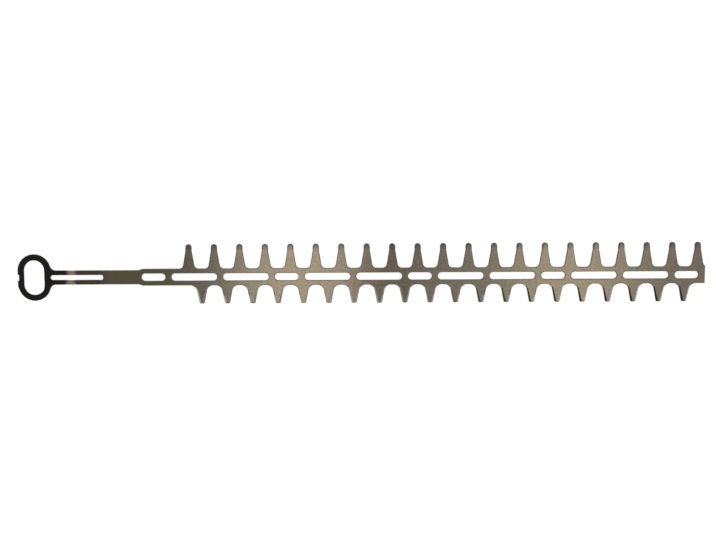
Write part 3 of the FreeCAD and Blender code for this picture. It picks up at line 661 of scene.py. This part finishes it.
class Graph:
    """A shader node tree under construction."""

    # Places of the colour sockets in a Mix node, which its names don't tell apart.
    MIX_SHARE, MIX_FIRST, MIX_SECOND, MIX_RESULT = 0, 6, 7, 2

    def __init__(self, tree: bpy.types.NodeTree) -> None:
        """Empties a tree and holds it."""
        self.tree = tree
        tree.nodes.clear()

    def node(self, kind: str, inputs: Optional[dict[Union[str, int], Input]] = None,
             **settings: object) -> bpy.types.Node:
        """Adds a node.

        Args:
            kind: the node's type.
            inputs: sockets or values for its inputs, by name or number.
            **settings: attributes of the node.

        Returns:
            The node.
        """
        made = self.tree.nodes.new(kind)
        for name, value in settings.items():
            setattr(made, name, value)
        for name, value in (inputs or {}).items():
            self.feed(made.inputs[name], value)
        return made

    def feed(self, target: Socket, value: Input) -> None:
        """Links a socket to an input, or sets a plain value on it.

        Args:
            target: the input.
            value: the socket or the value.
        """
        if isinstance(value, bpy.types.NodeSocket):
            self.tree.links.new(value, target)
        else:
            target.default_value = value

    def math(self, operation: str, *values: Input) -> Socket:
        """Adds a Math node and returns its result."""
        return self.node("ShaderNodeMath", dict(enumerate(values)), operation=operation).outputs[0]

    def spread(self, value: Input, low: float, high: float, to_low: Input = 0.0, to_high: Input = 1.0) -> Socket:
        """Maps a value from low..high to to_low..to_high, clamped, with smooth ends."""
        inputs = {"Value": value, "From Min": low, "From Max": high, "To Min": to_low, "To Max": to_high}
        return self.node("ShaderNodeMapRange", inputs, interpolation_type="SMOOTHSTEP").outputs["Result"]

    def spread_linear(self, value: Input, low: float, high: float) -> Socket:
        """Maps a value from low..high to 0..1, clamped, in a straight line."""
        return self.node("ShaderNodeMapRange", {"Value": value, "From Min": low, "From Max": high}).outputs["Result"]

    def mix(self, share: Input, first: Input, second: Input, blend: str = "MIX") -> Socket:
        """Mixes two colours.

        Args:
            share: how much of the second colour goes in.
            first: the first colour.
            second: the second colour.
            blend: how they are blended.

        Returns:
            The mixed colour.
        """
        made = self.node("ShaderNodeMix", data_type="RGBA", blend_type=blend)
        inputs = ((self.MIX_SHARE, share), (self.MIX_FIRST, first), (self.MIX_SECOND, second))
        for number, value in inputs:
            self.feed(made.inputs[number], (*value, 1.0) if isinstance(value, tuple) else value)
        return made.outputs[self.MIX_RESULT]

    def ramp(self, factor: Socket, stops: Sequence[tuple[float, Colour]]) -> Socket:
        """Adds a Color Ramp, eased between its stops.

        Args:
            factor: place on the ramp, from 0 to 1.
            stops: place and colour of each stop.

        Returns:
            The ramp's colour.
        """
        made = self.node("ShaderNodeValToRGB", {"Fac": factor})
        made.color_ramp.interpolation = "EASE"
        elements = made.color_ramp.elements
        while len(elements) < len(stops):
            elements.new(1.0)
        for element, (place, colour) in zip(elements, stops):
            element.position = place
            element.color = (*colour, 1.0)
        return made.outputs["Color"]

    def noise(self, vector: Input, scale: float = 1.0, detail: float = 3.0, roughness: float = 0.5) -> Socket:
        """Adds a Noise Texture and returns its value."""
        inputs = {"Vector": vector, "Scale": scale, "Detail": detail, "Roughness": roughness}
        return self.node("ShaderNodeTexNoise", inputs).outputs["Fac"]

    def stretch(self, vector: Input, scale: Sequence[float]) -> Socket:
        """Scales a vector and returns it."""
        return self.node("ShaderNodeMapping", {"Vector": vector, "Scale": scale}).outputs["Vector"]

    def group(self, tree: bpy.types.NodeTree, **inputs: Input) -> bpy.types.Node:
        """Places a node group, with its inputs by name, and returns the node."""
        return self.node("ShaderNodeGroup", inputs, node_tree=tree)


def new_group(name: str, inputs: Sequence[tuple[str, str]],
              outputs: Sequence[tuple[str, str]]) -> tuple[Graph, bpy.types.Node, bpy.types.Node]:
    """Makes an empty shader node group.

    Args:
        name: the group's name.
        inputs: name and socket type of each input.
        outputs: name and socket type of each output.

    Returns:
        Its graph, its input node and its output node.
    """
    tree = bpy.data.node_groups.new(name, "ShaderNodeTree")
    for direction, sockets in (("INPUT", inputs), ("OUTPUT", outputs)):
        for label, kind in sockets:
            tree.interface.new_socket(label, in_out=direction, socket_type=kind)
    graph = Graph(tree)
    return graph, graph.node("NodeGroupInput"), graph.node("NodeGroupOutput")


VALUE = "NodeSocketFloat"
VECTOR = "NodeSocketVector"
COLOUR = "NodeSocketColor"


class GrindMarks:
    """Fine lines that a grinding wheel leaves: noise drawn out along one direction."""

    LINE_DETAIL, LINE_ROUGHNESS = 4.0, 0.65
    SCRATCH_STRETCH = (0.35, 0.6, 0.6)
    SCRATCH_DETAIL, SCRATCH_ROUGHNESS = 2.0, 0.4
    SCRATCH_RANGE = (0.66, 0.74)

    @classmethod
    def group(cls) -> bpy.types.NodeTree:
        """Builds the effect.

        Returns:
            A group that takes a vector already stretched along the lines, and gives Lines and Scratches.
        """
        outputs = [("Lines", VALUE), ("Scratches", VALUE)]
        graph, given, result = new_group("grind_marks", [("Vector", VECTOR)], outputs)
        vector = given.outputs["Vector"]
        lines = graph.noise(vector, detail=cls.LINE_DETAIL, roughness=cls.LINE_ROUGHNESS)
        wide = graph.stretch(vector, cls.SCRATCH_STRETCH)
        sparse = graph.noise(wide, detail=cls.SCRATCH_DETAIL, roughness=cls.SCRATCH_ROUGHNESS)
        graph.feed(result.inputs["Lines"], lines)
        graph.feed(result.inputs["Scratches"], graph.spread(sparse, *cls.SCRATCH_RANGE))
        return graph.tree


class PatinaAndTipShade:
    """Thin oil and oxide layers on ground steel: broad clouds and a fine mottle of hue, with a painted shade that
    darkens the tooth tips.

    CLOUDS, MOTTLE, GRAIN and SPECKS say how many blots there are to a metre. The painted shade on the tooth tips
    darkens them between two places across the blade, in metres.
    """

    CLOUDS = (9.0, 26.0, 26.0)
    MOTTLE = (190.0, 260.0, 260.0)
    GRAIN = (330.0, 420.0, 420.0)
    SPECKS = 900.0
    FINE_DETAIL = 2.0
    SPECK_RANGE = (0.67, 0.75)
    COMB_TIPS = (0.0290, 0.0380)
    CUTTER_TIPS = (-0.0285, -0.0318)
    CUTTER_SHARE = 0.4

    @classmethod
    def group(cls) -> bpy.types.NodeTree:
        """Builds the effect.

        Returns:
            A group that takes object coordinates, and gives Clouds, Mottle, Grain, Specks, and the tooth tips'
            painted shade.
        """
        outputs = [(name, VALUE) for name in ("Clouds", "Mottle", "Grain", "Specks", "TipShade")]
        graph, given, result = new_group("patina_and_tip_shade", [("Vector", VECTOR)], outputs)
        vector = given.outputs["Vector"]
        specks = graph.noise(vector, cls.SPECKS, cls.FINE_DETAIL)
        across = graph.node("ShaderNodeSeparateXYZ", {0: vector}).outputs["Y"]
        # Painted shade: the tooth tips are darkened by their place across the blade, fully towards their ends.
        comb = graph.spread(across, *cls.COMB_TIPS)
        cutter = graph.spread(across, *cls.CUTTER_TIPS, 0.0, cls.CUTTER_SHARE)
        effects = {
            "Clouds": graph.noise(graph.stretch(vector, cls.CLOUDS)),
            "Mottle": graph.noise(graph.stretch(vector, cls.MOTTLE), detail=cls.FINE_DETAIL),
            "Grain": graph.noise(graph.stretch(vector, cls.GRAIN), detail=cls.FINE_DETAIL),
            "Specks": graph.spread(specks, *cls.SPECK_RANGE),
            "TipShade": graph.math("MAXIMUM", comb, cutter),
        }
        for name, value in effects.items():
            graph.feed(result.inputs[name], value)
        return graph.tree


class HeatTint:
    """Colours that hardening leaves: black oxide on the ring, then umber, straw, brown and olive bands.

    Each band stands at a share of the way along REACH, from the nose to the shoulder, with a little wander. FILM
    says where the tint has gone and where it is full, and OXIDE the same of the black oxide, in metres along the
    blade.
    """

    BLACK = (0.030, 0.025, 0.018)
    UMBER = (0.066, 0.046, 0.031)
    STRAW = (0.660, 0.500, 0.320)
    BROWN = (0.170, 0.122, 0.065)
    OLIVE = (0.278, 0.228, 0.118)
    BANDS = (
        (0.30, BLACK), (0.373, UMBER), (0.42, STRAW), (0.446, STRAW), (0.48, BROWN), (0.62, BROWN), (0.74, OLIVE),
    )
    REACH = (-0.02, 0.13)
    FILM = (0.205, 0.135)
    OXIDE = (0.036, 0.024)
    WANDER, WANDER_SCALE = 0.010, 70.0

    @classmethod
    def group(cls) -> bpy.types.NodeTree:
        """Builds the effect.

        Returns:
            A group that takes object coordinates and the bare steel's colour, and gives Color and Oxide.
        """
        outputs = [("Color", COLOUR), ("Oxide", VALUE)]
        graph, given, result = new_group("heat_tint", [("Vector", VECTOR), ("Steel", COLOUR)], outputs)
        vector = given.outputs["Vector"]
        place = graph.node("ShaderNodeSeparateXYZ", {0: vector}).outputs["X"]
        noise = graph.noise(vector, cls.WANDER_SCALE)
        along = graph.math("ADD", place, graph.math("MULTIPLY_ADD", noise, cls.WANDER, -cls.WANDER / 2))
        bands = graph.ramp(graph.spread_linear(along, *cls.REACH), cls.BANDS)
        film = graph.spread(along, *cls.FILM)
        graph.feed(result.inputs["Color"], graph.mix(film, given.outputs["Steel"], bands))
        graph.feed(result.inputs["Oxide"], graph.spread(along, *cls.OXIDE))
        return graph.tree


@dataclass(frozen=True)
class SteelFinish:
    """One finish of the blade's steel.

    Attributes:
        label: the material's name.
        hues: colours where the film is greenish, bronze and pinkish.
        roughness: range of the roughness over the grind lines.
        marks: how many grind lines there are to a metre, along X, Y and Z.
        relief: height of the grind lines in the bump, in metres.
        strength: strength of that bump.
        shade: how dark the lowest of the grind lines are.
    """

    label: str
    hues: tuple[Colour, Colour, Colour]
    roughness: tuple[float, float]
    marks: tuple[float, float, float]
    relief: float
    strength: float
    shade: float

    CLOUD_SHARE, MOTTLE_SHARE = 0.4, 0.6
    HUE_RANGE, HUE_STOPS = (0.34, 0.66), (0.0, 0.5, 1.0)
    GRAIN_RANGE, GRAIN_SHADE = (0.3, 0.7), (0.88, 1.12)
    LINE_RANGE, ROUGH_RANGE = (0.3, 0.7), (0.25, 0.75)
    SPECK, SPECK_SHARE = (0.05, 0.042, 0.032), 0.45
    # Painted shade: the darker, cooler grey that the tooth tips are multiplied towards.
    PAINTED_TIP_SHADE = (0.62, 0.66, 0.72)
    SCRATCH_DEPTH = 0.6
    OXIDE_ROUGHNESS, OXIDE_METALLIC = 0.22, -0.2

    def _steel(self, graph: Graph, films_and_tip_shade: bpy.types.Node, marks: bpy.types.Node) -> Socket:
        """Colour of the bare steel: hues by clouds and mottle, darkened by grain, grind lines and specks, with a
        painted shade on the tooth tips.

        Args:
            graph: the material's tree.
            films_and_tip_shade: the node of the group that gives the steel's blots and the tips' painted shade.
            marks: the grind marks group's node.

        Returns:
            The colour.
        """
        hue = graph.math("ADD", graph.math("MULTIPLY", films_and_tip_shade.outputs["Clouds"], self.CLOUD_SHARE),
                         graph.math("MULTIPLY", films_and_tip_shade.outputs["Mottle"], self.MOTTLE_SHARE))
        steel = graph.ramp(graph.spread_linear(hue, *self.HUE_RANGE), list(zip(self.HUE_STOPS, self.hues)))
        grain = graph.spread(films_and_tip_shade.outputs["Grain"], *self.GRAIN_RANGE, *self.GRAIN_SHADE)
        steel = graph.mix(1.0, steel, grain, "MULTIPLY")
        lines = graph.spread(marks.outputs["Lines"], *self.LINE_RANGE, self.shade, 1.0)
        steel = graph.mix(1.0, steel, lines, "MULTIPLY")
        specks = graph.math("MULTIPLY", films_and_tip_shade.outputs["Specks"], self.SPECK_SHARE)
        steel = graph.mix(specks, steel, self.SPECK)
        # Painted shade: the tooth tips are multiplied towards a darker, cooler grey.
        return graph.mix(films_and_tip_shade.outputs["TipShade"], steel, self.PAINTED_TIP_SHADE, "MULTIPLY")

    def material(self, groups: dict[str, bpy.types.NodeTree]) -> bpy.types.Material:
        """Builds the finish's material from the shared groups.

        Args:
            groups: the node groups, by name.

        Returns:
            The material.
        """
        made = bpy.data.materials.new(self.label)
        made.use_nodes = True
        graph = Graph(made.node_tree)
        place = graph.node("ShaderNodeTexCoord").outputs["Object"]
        films_and_tip_shade = graph.group(groups["patina_and_tip_shade"], Vector=place)
        marks = graph.group(groups["grind_marks"], Vector=graph.stretch(place, self.marks))
        tint = graph.group(groups["heat_tint"], Vector=place, Steel=self._steel(graph, films_and_tip_shade, marks))
        lines, oxide = marks.outputs["Lines"], tint.outputs["Oxide"]

        rough = graph.spread(lines, *self.ROUGH_RANGE, *self.roughness)
        rough = graph.math("ADD", rough, graph.math("MULTIPLY", oxide, self.OXIDE_ROUGHNESS))
        metallic = graph.math("MULTIPLY_ADD", oxide, self.OXIDE_METALLIC, 1.0)
        scratches = graph.math("MULTIPLY", marks.outputs["Scratches"], self.SCRATCH_DEPTH)
        level = graph.math("SUBTRACT", lines, scratches)
        bump = graph.node("ShaderNodeBump", {"Strength": self.strength, "Distance": self.relief, "Height": level})
        shader = graph.node("ShaderNodeBsdfPrincipled", {
            "Base Color": tint.outputs["Color"], "Roughness": rough, "Metallic": metallic,
            "Normal": bump.outputs["Normal"],
        })
        graph.node("ShaderNodeOutputMaterial", {"Surface": shader.outputs[0]})
        return made


FINISHES = {
    Finish.FACE: SteelFinish(
        label="ground_steel_face",
        hues=((0.315, 0.302, 0.218), (0.378, 0.308, 0.202), (0.370, 0.296, 0.224)),
        roughness=(0.09, 0.14), marks=(14.0, 2400.0, 2400.0), relief=0.00002, strength=0.10, shade=0.86),
    Finish.GRIND: SteelFinish(
        label="ground_cutting_bevel",
        hues=((0.400, 0.385, 0.320), (0.410, 0.380, 0.310), (0.415, 0.390, 0.340)),
        roughness=(0.08, 0.15), marks=(2600.0, 90.0, 2600.0), relief=0.00003, strength=0.15, shade=0.82),
    Finish.RIM: SteelFinish(
        label="blunted_comb_rim",
        hues=((0.350, 0.335, 0.275), (0.360, 0.330, 0.260), (0.360, 0.325, 0.275)),
        roughness=(0.28, 0.42), marks=(900.0, 900.0, 900.0), relief=0.00004, strength=0.25, shade=0.75),
    Finish.WALL: SteelFinish(
        label="punched_edge",
        hues=((0.270, 0.255, 0.175), (0.290, 0.245, 0.165), (0.285, 0.240, 0.185)),
        roughness=(0.28, 0.46), marks=(1600.0, 1600.0, 160.0), relief=0.00005, strength=0.35, shade=0.70),
}


def dress(plate: bpy.types.Object) -> None:
    """Gives the plate its finishes, in the order of its material slots.

    Args:
        plate: the plate's object.
    """
    groups = {"grind_marks": GrindMarks.group(), "patina_and_tip_shade": PatinaAndTipShade.group(), "heat_tint": HeatTint.group()}
    for finish in Finish:
        plate.data.materials.append(FINISHES[finish].material(groups))


@dataclass(frozen=True)
class SoftPanel:
    """A soft panel overhead, or a dim gap between two of them.

    Attributes:
        place: tangent of the angle from straight up to its middle, along the blade.
        half: half its width, in the same measure.
        level: how much brighter a panel is than the ceiling, or the share of a gap's own colour in it.
        edge: half the width of its soft edge.
    """

    place: float
    half: float
    level: float
    edge: float = 0.03

    TINT = (1.0, 0.97, 0.87)

    def window(self, graph: Graph, lean: Socket) -> Socket:
        """The panel's level by the lean of a ray, as a tangent: 0 outside the panel, with a soft edge."""
        off = graph.math("ABSOLUTE", graph.math("SUBTRACT", lean, self.place))
        return graph.spread(off, self.half + self.edge, self.half - self.edge, 0.0, self.level)


@dataclass
class Studio:
    """A white table under a row of soft panels, and the camera over it.

    The room's constants go by the direction of a ray, with x along the blade and z up. OVERHEAD holds the heights
    between which the room gives way to the ceiling, LOWEST the height under which the panels spread no further,
    ENDS how far along the blade the room gives way to its two ends, and the RISE of an end the heights between
    which its first level gives way to its second. The near end, beyond the drive eye, has a dark corner on the
    side of the cutters, which their bevels mirror.

    Attributes:
        aim: the point of the table that the picture's middle shows, in millimetres.
        distance: from there to the camera, in millimetres.
        tilt: how far the camera leans towards the comb teeth, in degrees.
        roll: how far the blade's end stands higher in the picture, in degrees.
        lens: focal length, in millimetres on the SENSOR.
        table: half the side of the table, in metres.
        glow: how much the table shines to the camera and in reflections.
    """

    aim: tuple[float, float] = (382.3, 7.2)
    distance: float = 1175.0
    tilt: float = 5.5
    roll: float = 0.27
    lens: float = 50.0
    table: float = 40.0
    glow: float = 0.72

    SENSOR = 36.0
    FARTHEST = 200.0
    DROP = 0.0001
    PAPER = (0.85, 0.85, 0.85, 1.0)
    CEILING = (0.29, 0.310, 0.380)
    GAP, GAP_COLOUR = SoftPanel(0.022, 0.021, 0.84, 0.02), (0.05, 0.05, 0.06)
    PANELS = (SoftPanel(-0.059, 0.063, 0.83), SoftPanel(0.213, 0.167, 0.19), SoftPanel(0.215, 0.058, 0.55))
    LOWEST = 0.2
    OVERHEAD = (0.5, 0.82)
    ROOM = (0.36, 0.36, 0.36)
    ENDS = (0.35, 0.65)
    NEAR_RISE, NEAR_LEVEL = (0.14, 0.21), 0.85
    CORNER_SIDE, CORNER_LEVELS = (-0.22, -0.10), (0.06, 0.30)
    FAR_RISE, FAR_LEVELS = (0.08, 0.22), (0.75, 0.55)

    def camera(self) -> None:
        """Sets up the camera: its back axis leans by the tilt, and its right axis is turned by the roll."""
        tilt, roll = math.radians(self.tilt), math.radians(self.roll)
        back = Vector((0, math.sin(tilt), math.cos(tilt)))
        level_up = Vector((0, math.cos(tilt), -math.sin(tilt)))
        right = Vector((1, 0, 0)) * math.cos(roll) - level_up * math.sin(roll)
        up = back.cross(right)
        data = bpy.data.cameras.new("camera")
        data.lens = self.lens
        data.sensor_width = self.SENSOR
        data.clip_end = self.FARTHEST
        holder = bpy.data.objects.new("camera", data)
        place = Vector((*self.aim, 0)) * MM + back * self.distance * MM
        holder.matrix_world = Matrix.Translation(place) @ Matrix((right, up, back)).transposed().to_4x4()
        bpy.context.scene.collection.objects.link(holder)
        bpy.context.scene.camera = holder

    def floor(self) -> None:
        """Lays the white table just under the blade: a square grid in x and y, which glows to the camera."""
        count = 3
        side = np.linspace(-self.table, self.table, count)
        x, y = np.meshgrid(side, side)
        points = np.stack([x.ravel(), y.ravel(), np.full(x.size, -self.DROP)], axis=1)
        corner = np.arange(count**2).reshape(count, count)[:-1, :-1].ravel()
        quads = np.stack([corner, corner + 1, corner + count + 1, corner + count], axis=1)
        mesh = bpy.data.meshes.new("table")
        mesh.from_pydata(points, [], quads.tolist())
        table = bpy.data.objects.new("table", mesh)
        made = bpy.data.materials.new("white_table")
        made.use_nodes = True
        graph = Graph(made.node_tree)
        path = graph.node("ShaderNodeLightPath").outputs
        seen = graph.math("MAXIMUM", path["Is Camera Ray"],
                          graph.math("MAXIMUM", path["Is Glossy Ray"], path["Is Transmission Ray"]))
        paper = graph.node("ShaderNodeBsdfDiffuse", {"Color": self.PAPER})
        glow = graph.node("ShaderNodeEmission", {"Strength": graph.math("MULTIPLY", seen, self.glow)})
        both = graph.node("ShaderNodeAddShader", {0: paper.outputs[0], 1: glow.outputs[0]})
        graph.node("ShaderNodeOutputMaterial", {"Surface": both.outputs[0]})
        mesh.materials.append(made)
        bpy.context.scene.collection.objects.link(table)

    def light(self) -> None:
        """Lights the blade by the surroundings: soft panels overhead, and a dimmer room towards the horizon."""
        world = bpy.data.worlds.new("studio")
        world.use_nodes = True
        graph = Graph(world.node_tree)
        ray = graph.node("ShaderNodeTexCoord").outputs["Generated"]
        x, y, z = graph.node("ShaderNodeSeparateXYZ", {0: ray}).outputs
        lean = graph.math("DIVIDE", x, graph.math("MAXIMUM", z, self.LOWEST))
        panels = graph.mix(self.GAP.window(graph, lean), self.CEILING, self.GAP_COLOUR)
        for panel in self.PANELS:
            panels = graph.mix(panel.window(graph, lean), panels, panel.TINT, "ADD")
        corner = graph.spread(y, *self.CORNER_SIDE, *self.CORNER_LEVELS)
        near_end = graph.spread(z, *self.NEAR_RISE, self.NEAR_LEVEL, corner)
        far_end = graph.spread(z, *self.FAR_RISE, *self.FAR_LEVELS)
        start, end = self.ENDS
        room = graph.mix(graph.spread(x, -start, -end), self.ROOM, near_end)
        room = graph.mix(graph.spread(x, start, end), room, far_end)
        colour = graph.mix(graph.spread(z, *self.OVERHEAD), room, panels)
        lit = graph.node("ShaderNodeBackground", {"Color": colour, "Strength": 1.0})
        graph.node("ShaderNodeOutputWorld", {"Surface": lit.outputs[0]})
        bpy.context.scene.world = world


def main() -> None:
    """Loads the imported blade, builds its plate over it, and sets up the studio."""
    logging.basicConfig(level=logging.INFO, format="%(name)s: %(message)s")
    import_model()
    blade = Blade()
    plate = blade.build()
    LOG.info("plate: %d points, %d faces", len(plate.data.vertices), len(plate.data.polygons))
    dress(plate)
    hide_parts(NODE)
    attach(plate, "root")
    studio = Studio()
    studio.floor()
    studio.light()
    studio.camera()
    bpy.context.scene.view_settings.view_transform = "Standard"


if __name__ == "__main__":
    main()
